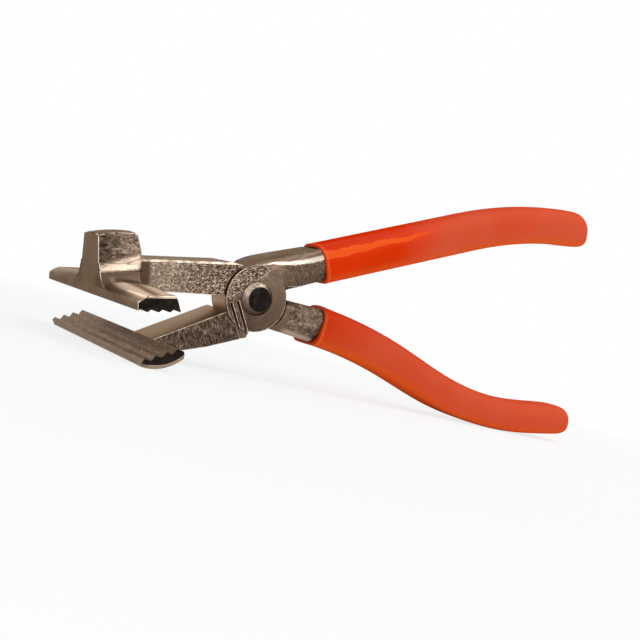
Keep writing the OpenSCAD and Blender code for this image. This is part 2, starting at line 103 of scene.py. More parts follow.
lens = bpy.data.cameras.new("photo_camera")
lens.sensor_width = SENSOR_MM
lens.lens = SENSOR_MM * FOCAL_PIXELS / PICTURE_PIXELS
lens.clip_start = 0.01
camera = bpy.data.objects.new("photo_camera", lens)
looking = Matrix((right_way, up_way, back_way)).transposed().to_4x4()
camera.matrix_world = Matrix.Translation(eye) @ looking
bpy.context.scene.collection.objects.link(camera)
bpy.context.scene.camera = camera
bpy.context.scene.view_settings.view_transform = "Standard"
print("camera", round((eye - pivot).length, 3), "m from the rivet")

# %% [markdown]
# Helpers for materials
#
# Every finish is a small network of nodes. These helpers add one node or a few each and return
# the output, so that a finish reads from top to bottom like a recipe. Most of them make or
# combine masks, values from 0 to 1 that say where on the piece a colour lies.

# %% Node helpers
class Nodes:
    """Short ways to add nodes to a tree."""

    def __init__(self, tree):
        self.tree = tree

    def node(self, kind, **settings):
        made = self.tree.nodes.new(kind)
        for key, value in settings.items():
            setattr(made, key, value)
        return made

    def feed(self, socket, value):
        """Links a value that is a node's output, or sets a plain one. A colour is a tuple."""
        if isinstance(value, bpy.types.NodeSocket):
            self.tree.links.new(value, socket)
        elif isinstance(value, tuple):
            socket.default_value = (*value, 1)
        else:
            socket.default_value = value

    def calc(self, operation, a, b=0.0, c=0.0):
        node = self.node("ShaderNodeMath", operation=operation)
        for socket, value in zip(node.inputs, (a, b, c)):
            self.feed(socket, value)
        return node.outputs[0]

    def both(self, first, *others):
        """The product: where masks overlap, or a value at part strength."""
        for other in others:
            first = self.calc("MULTIPLY", first, other)
        return first

    def slanted(self, a, b, slope):
        """a + slope * b, such as a coordinate measured from a slanted line."""
        return self.calc("MULTIPLY_ADD", b, slope, a)

    def blend(self, first, second, share):
        """Two patterns in one, with the first one's share."""
        return self.slanted(self.both(first, share), second, 1 - share)

    def fade(self, value, low, high, to_low=0.0, to_high=1.0):
        """A mask with a soft border: 0 below low and 1 above high, unless told otherwise."""
        node = self.node("ShaderNodeMapRange", interpolation_type="SMOOTHSTEP")
        for socket, number in zip(node.inputs, (value, low, high, to_low, to_high)):
            self.feed(socket, number)
        return node.outputs[0]

    def drop(self, value, low, high):
        """The other way round: 1 below low and 0 above high."""
        return self.fade(value, low, high, 1.0, 0.0)

    def between(self, value, low, high, soft):
        """A mask of 1 from low to high, with soft ends."""
        rise = self.fade(value, low - soft, low + soft)
        return self.both(rise, self.drop(value, high - soft, high + soft))

    def span(self, value, low, high):
        """0 at low, 1 at high and a straight run between."""
        node = self.node("ShaderNodeMapRange")
        for socket, number in zip(node.inputs, (value, low, high)):
            self.feed(socket, number)
        return node.outputs[0]

    def ramp(self, value, stops):
        """A colour that changes with a value, from stops of a place and a colour."""
        node = self.node("ShaderNodeValToRGB")
        self.feed(node.inputs[0], value)
        while len(node.color_ramp.elements) < len(stops):
            node.color_ramp.elements.new(0.5)
        for element, (at, colour) in zip(node.color_ramp.elements, stops):
            element.position = at
            element.color = (*colour, 1)
        return node.outputs[0]

    def mix(self, share, a, b, way="MIX"):
        node = self.node("ShaderNodeMix", data_type="RGBA", blend_type=way)
        for socket, value in ((node.inputs[0], share), (node.inputs[6], a), (node.inputs[7], b)):
            self.feed(socket, value)
        return node.outputs[2]


# %% [markdown]
# Recipes
#
# A recipe is one material. Its patterns sit on Object coordinates, turned and scaled into a
# lever's own frame, so that they stay on the metal when the lever swings.

# %% A recipe for one material
BORDER_REACH = 10.0


class Recipe(Nodes):
    """A material, its places and its patterns."""

    def __init__(self, name):
        self.material = bpy.data.materials.new(name)
        self.material.use_nodes = True
        super().__init__(self.material.node_tree)
        self.shader = self.tree.nodes["Principled BSDF"]

    def shade(self, socket_name, value):
        self.feed(self.shader.inputs[socket_name], value)

    def place(self, turn):
        """Object coordinates in millimetres, in a lever's own frame."""
        where = self.node("ShaderNodeTexCoord")
        turned = self.node("ShaderNodeMapping", vector_type="TEXTURE")
        self.feed(turned.inputs["Vector"], where.outputs["Object"])
        turned.inputs["Location"].default_value = pivot
        turned.inputs["Rotation"].default_value = (0, radians(turn), 0)
        turned.inputs["Scale"].default_value = (MM, MM, MM)
        return turned.outputs["Vector"]

    def stretched(self, vector, stretch):
        node = self.node("ShaderNodeMapping")
        self.feed(node.inputs["Vector"], vector)
        node.inputs["Scale"].default_value = stretch
        return node.outputs["Vector"]

    def parts(self, vector):
        node = self.node("ShaderNodeSeparateXYZ")
        self.feed(node.inputs[0], vector)
        return node.outputs[0], node.outputs[1], node.outputs[2]

    def radius(self, x, z):
        """The distance from the pivot's axis."""
        return self.calc("SQRT", self.slanted(self.both(x, x), self.both(z, z), 1.0))

    def noise(self, vector, scale, detail, rough, twist=0.0):
        node = self.node("ShaderNodeTexNoise")
        self.feed(node.inputs["Vector"], vector)
        node.inputs["Scale"].default_value = scale
        node.inputs["Detail"].default_value = detail
        node.inputs["Roughness"].default_value = rough
        node.inputs["Distortion"].default_value = twist
        return node.outputs["Fac"]

    def border(self, value, points):
        """The height of a line drawn through a few points, none more than BORDER_REACH off 0."""
        first, last = points[0][0], points[-1][0]
        tall = 2 * BORDER_REACH
        stops = [((at - first) / (last - first), (height / tall + 0.5,) * 3) for at, height in points]
        line = self.ramp(self.span(value, first, last), stops)
        return self.calc("MULTIPLY_ADD", line, tall, -BORDER_REACH)

    def bump(self, height, depth_mm, under=None):
        node = self.node("ShaderNodeBump")
        self.feed(node.inputs["Height"], height)
        node.inputs["Strength"].default_value = 1.0
        node.inputs["Distance"].default_value = depth_mm * MM
        if under is not None:
            self.feed(node.inputs["Normal"], under)
        return node.outputs["Normal"]


# %% [markdown]
# Plated castings
#
# The levers are iron castings with a thin warm nickel coat. Their sides keep the grain of the sand mould,
# bright crests between dark pits. The jaws, the edges and the arms' tops were ground and look like brown
# satin, and the cream bands on the hammer's skirt, the wings and the shank's shoulder are painted
# highlights.
#
# A metal's colour is its reflection, and at a low angle a plain metal turns white. The specular
# tint holds that back, as the dull film on old nickel does.

# %% Colours of old nickel
CREAM = (0.8, 0.635, 0.49)
UMBER = (0.085, 0.053, 0.035)
NEAR_BLACK = (0.02, 0.0155, 0.0125)
PALE_TAN = (0.62, 0.47, 0.36)
DULL_TAN = (0.5, 0.4, 0.31)
BRIM_BROWN = (0.33, 0.24, 0.17)
GROOVE_TAN = (0.42, 0.3, 0.22)
SHOULDER_HIGHLIGHT = (0.74, 0.64, 0.52)
NICK_WHITE = (0.9, 0.8, 0.7)

SATIN = [(0.34, (0.135, 0.09, 0.062)), (0.5, (0.18, 0.122, 0.085)), (0.66, (0.24, 0.168, 0.12))]
CRESTS = [(0.39, (0.04, 0.026, 0.017)), (0.46, (0.13, 0.085, 0.057)),
          (0.53, (0.28, 0.2, 0.143)), (0.63, (0.76, 0.61, 0.49))]


# %% Satin, grain and film
SATIN_ROUGHNESS = 0.36
GRAIN_DEPTH = 0.4
BRUSHED_DEPTH = 0.02


class Nickel(Recipe):
    """What both levers share: the coordinates, the satin, the cast grain and the relief."""

    def __init__(self, name, turn):
        super().__init__(name)
        self.here = self.place(turn)
        self.x, self.y, self.z = self.parts(self.here)
        self.across = self.calc("ABSOLUTE", self.y)
        self.broad = self.noise(self.here, 0.1, 3.0, 0.55)
        self.brushed = self.noise(self.stretched(self.here, (3.2, 3.2, 0.55)), 1.5, 3.0, 0.55)
        self.grain = self.noise(self.stretched(self.here, (0.85, 1.0, 1.3)), 1.4, 3.5, 0.66, 0.8)
        self.satin = self.ramp(self.blend(self.broad, self.brushed, 0.55), SATIN)
        self.shade("Metallic", 1.0)
        self.shade("Specular Tint", (0.62, 0.54, 0.47))

    def finish(self, colour, rough, relief, rubbed_and_highlight, change):
        """Feeds the colour, the roughness, which the mask of the painted highlights changes a little, and
        the relief, which is deep where the casting is rough."""
        base = self.slanted(self.both(self.broad, 0.16), rubbed_and_highlight, change)
        self.shade("Base Color", colour)
        self.shade("Roughness", self.slanted(self.calc("ADD", base, SATIN_ROUGHNESS), rough, 0.1))
        pits = self.both(self.calc("SUBTRACT", relief, 0.5), rough)
        brushed = self.bump(self.brushed, BRUSHED_DEPTH)
        self.shade("Normal", self.bump(pits, GRAIN_DEPTH, brushed))
        return self.material


# %% [markdown]
# The upper jaw's wings
#
# Under the hammer a web, darkened with painted shade, flows out into two wings. The top of each wing
# carries a painted reflection: a bright line along its crest that runs forward as it goes out, with a
# dark line behind it. Each function from here on paints one region over the colour that it is given, from
# the back layer to the front one.

# %% Web and wings
def paint_wings(r, colour):
    # Painted shade darkens the web under the skirt's overhang.
    web = r.both(r.fade(r.z, 3.0, 4.2), r.fade(r.z, 7.0, 12.5, 1.0, 0.7),
                 r.between(r.across, 7.6, 19.0, 2.5), r.drop(r.x, -34.5, -33.5))
    swoosh = r.noise(r.stretched(r.here, (0.3, 0.5, 1.6)), 0.5, 3.0, 0.6)
    colour = r.mix(r.both(web, r.fade(swoosh, 0.4, 0.62, 0.95, 0.7)), colour, UMBER)

    # Painted reflection on the wing's top, stronger on the near side: a bright crest and a dark line
    # behind it.
    top = r.both(r.fade(r.z, 2.3, 2.7), r.drop(r.z, 5.2, 6.2), r.drop(r.x, -36.2, -35.6),
                 r.fade(r.slanted(r.across, r.x, -2.0), 101.5, 109.0), r.fade(r.y, -6.0, 6.0, 1.0, 0.35))
    back_along_wing = r.slanted(r.slanted(r.x, r.across, 0.084), r.broad, 1.2)
    crest_reflection = r.ramp(r.span(back_along_wing, -47.4, -33.4), [
        (0.0, (0.12, 0.08, 0.054)), (0.08, (0.16, 0.108, 0.074)), (0.18, (0.74, 0.56, 0.43)),
        (0.27, (0.88, 0.68, 0.53)), (0.35, (0.42, 0.3, 0.215)), (0.41, (0.19, 0.13, 0.09)),
        (0.48, (0.42, 0.305, 0.225)), (0.6, (0.8, 0.61, 0.475)), (0.8, (0.62, 0.46, 0.35)),
        (1.0, (0.34, 0.24, 0.17))])
    colour = r.mix(top, colour, crest_reflection)

    brim = r.both(r.drop(r.x, JAW_FRONT + 1.1, JAW_FRONT + 1.7), r.fade(r.across, 24.0, 37.0),
                  r.fade(r.z, 1.5, 2.3))
    colour = r.mix(r.both(brim, 0.6), colour, BRIM_BROWN)
    # A thin painted highlight on the corner where the jaw's front meets its end.
    corner = r.both(r.drop(r.x, JAW_FRONT + 0.1, JAW_FRONT + 0.25),
                    r.fade(r.across, JAW_END - 0.65, JAW_END - 0.45))
    return r.mix(corner, colour, CREAM)


# %% [markdown]
# The hammer
#
# The hammer's sides are rough above a slanted line, and darkest at the front top corner. Below that line
# lies the skirt, whose cream band, a painted highlight, widens toward the arm.

# %% Hammer sides and skirt
def paint_hammer(r, colour):
    smear = r.noise(r.stretched(r.here, (0.7, 1.0, 1.6)), 0.8, 4.0, 0.66, 0.9)
    skirt_top = r.slanted(r.slanted(r.z, r.x, -0.3), smear, 3.5)
    skirt_foot = r.slanted(r.slanted(r.z, r.x, -0.104), smear, 1.2)

    # The skirt's cream band is a painted highlight.
    band = r.both(r.drop(r.x, HAMMER_BACK - 0.2, HAMMER_BACK + 0.6),
                  r.fade(r.x, JAW_FRONT + 0.1, JAW_FRONT + 0.4), r.fade(skirt_foot, 12.2, 13.1),
                  r.drop(skirt_top, 24.4, 26.0), r.fade(r.across, 6.8, 7.1))
    colour = r.mix(r.both(band, r.fade(smear, 0.3, 0.5, 0.8, 1.0)), colour, CREAM)

    rough = r.both(r.drop(r.x, HAMMER_BACK - 0.1, HAMMER_BACK + 0.7),
                   r.fade(r.x, JAW_FRONT + 0.05, JAW_FRONT + 0.2), r.fade(skirt_top, 24.6, 26.2),
                   r.drop(r.across, ARM_SIDE - 0.4, ARM_SIDE + 0.2), r.fade(r.across, 5.6, 6.1))
    tone = r.ramp(smear, [
        (0.36, (0.07, 0.045, 0.03)), (0.5, (0.17, 0.115, 0.08)), (0.64, (0.42, 0.31, 0.235))])
    light = r.fade(r.slanted(r.x, r.z, -0.5), -58.5, -44.5, 0.35, 1.3)
    grey = r.ramp(light, [(0.0, (0, 0, 0)), (1.0, (1, 1, 1))])
    return r.mix(rough, colour, r.mix(1.0, tone, grey, "MULTIPLY")), band, rough


# %% [markdown]
# The upper arm and its shank
#
# The arm's sides, from behind the hammer to the joint, keep the cast grain, and are paler
# toward the hammer. Behind the joint the shank is mottled, with a dull tan strip underneath.

# %% Rough arm
def paint_upper_arm(r, colour):
    on_arm = r.both(r.fade(r.x, -35.7, -33.9), r.drop(r.x, 4, 9),
                    r.between(r.across, ARM_SIDE - 0.07, ARM_SIDE + 0.3, 0.04))
    tone = r.mix(r.fade(r.x, -34.0, -14.0, 0.3, 0.0), r.ramp(r.grain, CRESTS), PALE_TAN)
    colour = r.mix(on_arm, colour, tone)
    # Painted shade in the gap behind the hammer.
    gap = r.both(r.between(r.x, HAMMER_BACK + 0.2, HAMMER_BACK + 2.9, 0.5),
                 r.between(r.across, ARM_SIDE - 0.5, ARM_SIDE + 1.0, 0.2), r.fade(r.z, 3.0, 5.0))
    return r.mix(r.both(gap, 0.75), colour, UMBER), on_arm


# %% Mottled shank
def paint_lower_shank(r, colour):
    on_shank = r.fade(r.x, 10, 13)
    mottle = r.noise(r.here, 0.42, 4.0, 0.6)
    tone = r.ramp(r.blend(mottle, r.grain, 0.45), [
        (0.4, (0.06, 0.04, 0.027)), (0.5, (0.165, 0.113, 0.078)), (0.6, (0.36, 0.27, 0.2))])
    colour = r.mix(on_shank, colour, tone)
    under = r.both(r.drop(r.slanted(r.z, r.x, 0.32), -6.6, -5.2), r.drop(r.across, 7.0, 7.6))
    return r.mix(r.both(on_shank, under), colour, DULL_TAN), on_shank


# %% [markdown]
# Round the joint
#
# The rim of the rear disc, seen in the fork of the jaws, is painted lighter, painted light against the
# shade in the fork, and is lightest toward its foot. A painted shadow darkens the seam where the rear
# lever passes behind the front disc.

# %% Painted light on the rim and painted shadow in the seam
def paint_joint(r, colour):
    # Painted light: the rim is lightened against the shade in the fork.
    turned = r.both(r.fade(r.x, -13.0, -11.5), r.drop(r.x, -7.5, -6.5),
                    r.drop(r.across, ARM_SIDE - 0.4, ARM_SIDE - 0.1), r.drop(r.z, 1.5, 3.0))
    tone = r.mix(r.fade(r.z, -7.0, -1.0), (0.46, 0.335, 0.245), (0.32, 0.224, 0.158))
    colour = r.mix(turned, colour, tone)
    # Painted shadow in the seam round the front disc.
    seam = r.both(r.between(r.radius(r.x, r.z), DISC_RADIUS - 0.1, DISC_RADIUS + 1.35, 0.3),
                  r.fade(r.across, 3.0, 5.0), r.fade(r.x, 0, 3))
    return r.mix(r.both(seam, 0.9), colour, NEAR_BLACK)


# %% The upper jaw's lever
def rear_finish():
    r = Nickel("plated_iron_rear", REAR_TURN)
    colour = paint_wings(r, r.satin)
    colour, band, rough_hammer = paint_hammer(r, colour)
    colour, on_arm = paint_upper_arm(r, colour)
    colour, on_shank = paint_lower_shank(r, colour)
    colour = paint_joint(r, colour)
    cast = r.calc("MAXIMUM", on_arm, r.both(on_shank, 0.3))
    rough = r.calc("MAXIMUM", r.both(rough_hammer, 0.6), cast)
    return r.finish(colour, rough, r.grain, band, 0.06)


rear_iron = rear_finish()
print(rear_iron.name, "has", len(rear_iron.node_tree.nodes), "nodes")

# %% [markdown]
# The lower jaw
#
# The teeth keep a dull film that scatters light into the valleys, so they are less metallic than
# the rest. The grinder left lines along them, and hard staples a few bright nicks. The jaw's
# belly is paler.

# %% Teeth and belly
def paint_teeth(r, colour):
    teeth = r.both(r.drop(r.x, -36.6, -35.9), r.fade(r.z, -2.6, -1.9),
                   r.drop(r.across, JAW_END - 0.7, JAW_END - 0.5))
    r.shade("Metallic", r.fade(teeth, 0.0, 1.0, 1.0, 0.5))
    # This level only counts where the metal is dulled, so it sets the film's own weak gloss.
    r.shade("Specular IOR Level", 0.15)
    lines = r.ramp(r.noise(r.stretched(r.here, (1.0, 0.12, 1.0)), 2.2, 3.0, 0.6), [
        (0.38, (0.22, 0.145, 0.093)), (0.62, (0.4, 0.278, 0.19))])
    colour = r.mix(r.both(teeth, 0.75), colour, lines)
    nicks = r.both(teeth, r.fade(r.noise(r.here, 0.5, 2.0, 0.5), 0.69, 0.72), r.fade(r.z, -0.3, 0.1))
    colour = r.mix(nicks, colour, NICK_WHITE)
    belly = r.both(r.drop(r.x, -40.0, -38.0), r.drop(r.z, -1.7, -1.2))
    return r.mix(belly, colour, r.mix(r.broad, (0.3, 0.215, 0.155), (0.5, 0.375, 0.28)))


# %% [markdown]
# The lower arm
#
# The sides of the lower arm are dark and streaked from top to bottom. Its top and the edge of
# the lap between the discs were ground, and are brighter than the satin.

# %% Ground top
def paint_ground(r, colour):
    ground = r.both(r.fade(r.x, -36.5, -34.0), r.drop(r.x, -9.4, -9.0),
                    r.drop(r.across, ARM_SIDE - 0.3, ARM_SIDE - 0.1), r.fade(r.z, -4.4, -3.6))
    tone = r.mix(r.fade(r.x, -34.0, -12.0), (0.37, 0.262, 0.183), (0.48, 0.345, 0.243))
    return r.mix(ground, colour, tone)


# %% Streaked sides
def paint_lower_arm(r, colour, streak):
    on_arm = r.both(r.fade(r.x, -36.2, -34.6), r.drop(r.x, -8.2, -3.2), r.drop(r.z, 1.4, 2.2),
                    r.between(r.across, ARM_SIDE - 0.07, DISC_FACE + 0.3, 0.04))
    tone = r.ramp(r.blend(r.grain, streak, 0.35), [
        (0.38, (0.025, 0.016, 0.011)), (0.47, (0.075, 0.049, 0.033)),
        (0.55, (0.16, 0.112, 0.078)), (0.64, (0.4, 0.31, 0.24))])
    return r.mix(on_arm, colour, tone), on_arm


# %% [markdown]
# The front disc
#
# The disc's face is rough at its upper left, and darker at its foot. Beside the rivet two grooves run
# down toward the arm. The face is darker round them, and their floors are painted lighter, painted light
# against the shade in them.

# %% Grooves
def paint_grooves(r, colour, face):
    darker_round = r.both(face, r.between(r.x, -8.6, -2.8, 1.2), r.drop(r.z, -1.5, 1.5))
    colour = r.mix(r.both(darker_round, 0.6), colour, UMBER)
    # Painted light: the grooves' floors are lightened against their shade.
    floors = r.both(r.between(r.x, -8.8, -2.6, 0.3),
                    r.between(r.across, ARM_SIDE - 0.5, ARM_SIDE + 0.5, 0.05))
    return r.mix(floors, colour, GROOVE_TAN)


# %% Disc face
def paint_disc(r, colour, face):
    foot = r.both(face, r.drop(r.z, -6.0, 1.5), r.fade(r.x, -8.0, -4.0), r.drop(r.x, 6.0, 9.0))
    colour = r.mix(r.both(foot, r.span(r.blend(r.broad, r.grain, 0.5), 0.36, 0.58)), colour, UMBER)
    rough = r.both(face, r.fade(r.slanted(r.z, r.x, -0.37), 3.6, 5.6), r.drop(r.x, 5.2, 7.6),
                   r.fade(r.x, -12.5, -11.5))
    return r.mix(rough, colour, r.ramp(r.grain, CRESTS)), rough


# %% [markdown]
# The upper handle's shank
#
# The shank's sides are marked from top to bottom. A painted highlight lies on its shoulder: a bright band
# runs along the shank, thins to a line and goes on round the edge of the disc. Two lines, drawn through a
# few points, are the band's top and its foot.

# %% Marked shank
SHOULDER_TOP = [
    (-6.0, 8.4), (-4.4, 9.3), (-2.7, 9.94), (-0.8, 10.0), (1.0, 10.0), (3.0, 10.0), (5.2, 9.85),
    (7.9, 9.65), (11.0, 9.05), (14.0, 8.35), (18.0, 7.85), (22.0, 7.65), (28.0, 7.5)]
SHOULDER_FOOT = [
    (-6.0, 8.1), (-4.4, 8.9), (-2.7, 9.55), (-0.8, 9.85), (1.0, 9.85), (3.0, 9.7), (5.2, 9.4),
    (7.9, 9.05), (11.0, 8.15), (16.0, 6.75), (21.0, 6.15), (28.0, 5.6)]


def paint_upper_shank(r, colour, marks):
    on_shank = r.both(r.fade(r.x, 9, 13), r.between(r.across, 5.0, 9.0, 0.3), r.drop(r.z, 7.2, 8.0))
    tone = r.ramp(r.blend(marks, r.grain, 0.6), [
        (0.38, (0.055, 0.036, 0.025)), (0.5, (0.115, 0.076, 0.051)), (0.62, (0.22, 0.155, 0.11))])
    return r.mix(r.both(on_shank, 0.9), colour, tone)


# %% Painted highlight on the shoulder
def paint_shoulder(r, colour, marks):
    over_foot = r.slanted(r.calc("SUBTRACT", r.z, r.border(r.x, SHOULDER_FOOT)), marks, 0.9)
    over_top = r.calc("SUBTRACT", r.z, r.border(r.x, SHOULDER_TOP))
    top_softness = r.fade(r.x, 0.0, 4.0, 0.6, 0.15)
    leaning_side = r.slanted(r.across, r.calc("MAXIMUM", r.x, 0.0), 0.45)
    # A painted highlight along the shoulder, between the two lines.
    shoulder = r.both(r.fade(over_foot, 0.3, 0.6), r.drop(over_top, -0.1, top_softness),
                      r.fade(r.x, -6.0, -4.5), r.fade(leaning_side, 8.35, 8.6))
    return r.mix(shoulder, colour, SHOULDER_HIGHLIGHT), shoulder


# %% The lower jaw's lever
def front_finish():
    r = Nickel("plated_iron_front", FRONT_TURN)
    streak = r.noise(r.stretched(r.here, (2.4, 1.0, 0.6)), 0.75, 4.0, 0.64, 0.3)
    marks = r.noise(r.stretched(r.here, (2.2, 1.0, 0.7)), 0.8, 3.0, 0.6)
    face = r.between(r.across, DISC_FACE - 0.1, DISC_FACE + 0.3, 0.05)
    colour = paint_upper_shank(r, r.satin, marks)
    colour = paint_ground(r, colour)
    colour = paint_teeth(r, colour)
    colour = paint_grooves(r, colour, face)
    colour, shoulder = paint_shoulder(r, colour, marks)
    colour, rough_disc = paint_disc(r, colour, face)
    colour, on_arm = paint_lower_arm(r, colour, streak)
    rough = r.calc("MAXIMUM", rough_disc, r.both(on_arm, 0.9))
    weak_grain = r.both(r.grain, r.fade(on_arm, 0.0, 1.0, 1.0, 0.4))
    relief = r.slanted(weak_grain, r.both(streak, on_arm), 0.7)
    return r.finish(colour, rough, relief, shoulder, -0.16)


front_iron = front_finish()
print(front_iron.name, "has", len(front_iron.node_tree.nodes), "nodes")

# %% [markdown]
# Worn edges with painted highlights
#
# Handling wears the plating along the castings' edges, and the light catches the round of an edge as a
# thin bright line. The faces that round an edge get this brighter, smoother finish, which is partly that
# wear and partly a painted highlight for the bright line.
# It is strongest on the arms, the discs and the hammer, and weak on the jaws, which are ground
# all over and have little contrast between a face and its edge.

# %% Bright edges
def bright_edge(name, turn, jaw_level):
    """Polished nickel, partly a painted highlight, for the rounds of a casting's edges. Below jaw_level
    it stays dull.
    """
    r = Recipe(name)
    here = r.place(turn)
    x, y, z = r.parts(here)
    spots = r.noise(here, 0.7, 4.0, 0.65)
    # The bright tone is partly wear and partly a painted highlight.
    bright = r.ramp(spots, [
        (0.36, (0.24, 0.17, 0.12)), (0.48, (0.5, 0.385, 0.29)), (0.62, (0.8, 0.67, 0.55))])
    dull = r.ramp(spots, [
        (0.36, (0.14, 0.093, 0.063)), (0.55, (0.22, 0.153, 0.108)), (0.7, (0.42, 0.32, 0.25))])
    on_jaw = r.both(r.drop(x, HAMMER_BACK - 0.3, HAMMER_BACK + 2.2), r.drop(z, jaw_level, jaw_level + 2))
    skirt = r.both(r.drop(z, 8.0, 8.6), r.drop(x, HAMMER_BACK - 0.1, HAMMER_BACK + 0.4),
                   r.fade(x, JAW_FRONT + 0.4, JAW_FRONT + 0.8))
    rim = r.fade(r.calc("ABSOLUTE", y), JAW_END - 1.1, JAW_END - 0.7)
    colour = r.mix(r.calc("MAXIMUM", on_jaw, skirt), bright, r.mix(rim, dull, (0.4, 0.3, 0.225)))
    # A painted highlight on the corner where the jaw's front meets its end.
    corner = r.both(rim, r.drop(x, JAW_FRONT + 0.4, JAW_FRONT + 0.7))
    r.shade("Base Color", r.mix(corner, colour, (0.8, 0.66, 0.54)))
    r.shade("Metallic", 1.0)
    r.shade("Specular Tint", (0.6, 0.52, 0.45))
    r.shade("Roughness", 0.34)
    r.shade("Normal", r.bump(spots, 0.04))
    return r.material


front_edge = bright_edge("worn_edge_highlight_front", FRONT_TURN, 3.0)
rear_edge = bright_edge("worn_edge_highlight_rear", REAR_TURN, 4.5)
print("edges' finishes:", front_edge.name, rear_edge.name)

# %% [markdown]
# Dark ends
#
# The jaws' four small end faces are ground flat, and their near-black colour is a painted dark
# reflection, with fine marks running down them.

# %% Near-black ends
def dark_end_reflection():
    r = Recipe("dark_end_reflection")
    here = r.place(0.0)
    strokes = r.noise(r.stretched(here, (2.4, 1.0, 0.3)), 1.2, 3.0, 0.6)
    soot = r.noise(here, 0.35, 3.0, 0.6)
    # A painted dark reflection, near black.
    r.shade("Base Color", r.ramp(r.blend(soot, strokes, 0.6), [
        (0.36, (0.011, 0.008, 0.006)), (0.52, NEAR_BLACK), (0.66, (0.045, 0.034, 0.026))]))
    r.shade("Metallic", 1.0)
    r.shade("Specular Tint", (0.5, 0.42, 0.35))
    r.shade("Roughness", r.slanted(0.45, soot, 0.2))
    r.shade("Normal", r.bump(strokes, 0.05))
    return r.material


dark_end = dark_end_reflection()
print("ends' finish:", dark_end.name)

# %% [markdown]
# The rivet's steel
#
# The rivet's end is cut flat, and its near-black colour is a painted dark reflection, while the round of
# its head is brown with a painted highlight on its upper left. Fine rings from the cutting tool run round
# the end, so the height of the bump follows the distance from the rivet's axis.

# %% Dark rivet steel
END_RADIUS = 3.7
RINGS_PER_MM = 14.0


def rivet_steel():
    r = Recipe("rivet_steel")
    here = r.place(0.0)
    x, _, z = r.parts(here)
    out = r.radius(x, z)
    blotch = r.noise(here, 0.8, 4.0, 0.6)
    # A painted highlight on the upper left of the head's round.
    lit = r.both(r.fade(r.slanted(z, x, -0.6), -2.0, 4.5), r.fade(out, 4.9, 6.0, 1.0, 0.25))
    worn_and_highlight = r.ramp(blotch, [(0.35, (0.3, 0.22, 0.16)), (0.6, (0.62, 0.5, 0.4))])
    lit_head_round = r.mix(lit, (0.14, 0.094, 0.065), worn_and_highlight)
    # The flat end's near black is a painted dark reflection.
    dark = r.ramp(blotch, [(0.35, (0.012, 0.009, 0.008)), (0.7, (0.03, 0.024, 0.022))])
    r.shade("Base Color", r.mix(r.drop(out, END_RADIUS, END_RADIUS + 0.4), lit_head_round, dark))
    r.shade("Metallic", 1.0)
    r.shade("Specular Tint", (0.3, 0.25, 0.2))
    r.shade("Roughness", r.fade(out, END_RADIUS, END_RADIUS + 0.4, 0.55, 0.36))
    rings = r.calc("SINE", r.both(out, RINGS_PER_MM))
    r.shade("Normal", r.bump(r.calc("ADD", rings, blotch), 0.02))
    return r.material


dark_steel = rivet_steel()
print("rivet's finish:", dark_steel.name)

# %% [markdown]
# Dipped vinyl
#
# The grips were dipped in liquid vinyl that set with a soft gloss. Near the mouth of the upper grip the
# coat is smooth and vivid, with a painted highlight, a paler streak, along its shoulder. Toward the palm
# it has been rubbed to satin, and along the belly a warmer, lighter orange is painted light against the
# shade underneath. The border between the shiny and the rubbed part slants, because a hand lies across
# the handle. Each grip's mouth is given by its middle, as x and z, and by the angle at which it points.

# %% The grips' mouths
UPPER_MOUTH = (26.4, 4.15)
UPPER_HEADING = -2.7
LOWER_MOUTH = (24.6, -8.98)
LOWER_HEADING = -15.9
RUBBED_WITHIN = 26

STREAK_ORANGE = (0.93, 0.1, 0.012)
BELLY_ORANGE = (0.88, 0.125, 0.008)
RUBBED_ORANGE = (0.7, 0.095, 0.038)
RIM_ORANGE = (0.95, 0.15, 0.04)
LIP_SHADE = (0.3, 0.04, 0.006)


def past_mouth(r, x, z, mouth, heading):
    """How far into the grip a point lies, in mm along the handle."""
    along = r.slanted(r.both(x, cos(radians(heading))), z, sin(radians(heading)))
    start = mouth[0] * cos(radians(heading)) + mouth[1] * sin(radians(heading))
    return r.calc("SUBTRACT", along, start)


# %% The painted highlight streak
STREAK_LENGTH = 58


def paint_streak(r, colour, past, z, here, waves, run):
    """A painted highlight streak that narrows along a line of points, each as mm past the mouth and
    height.
    """
    ripple = r.noise(r.stretched(here, (0.5, 0.3, 1.0)), 0.28, 3.0, 0.55)
    height = r.calc("SUBTRACT", z, r.border(past, run))
    off = r.calc("ABSOLUTE", r.slanted(height, r.calc("SUBTRACT", ripple, 0.5), 2.4))
    width = r.slanted(r.span(past, STREAK_LENGTH, 0), r.calc("SUBTRACT", waves, 0.5), 1.6)
    # The pale streak is a painted highlight.
    streak = r.both(r.drop(past, 32, 50), r.fade(past, 0.4, 1.2),
                    r.drop(r.slanted(off, width, -1.25), -0.15, 0.15))
    return r.mix(streak, colour, STREAK_ORANGE)


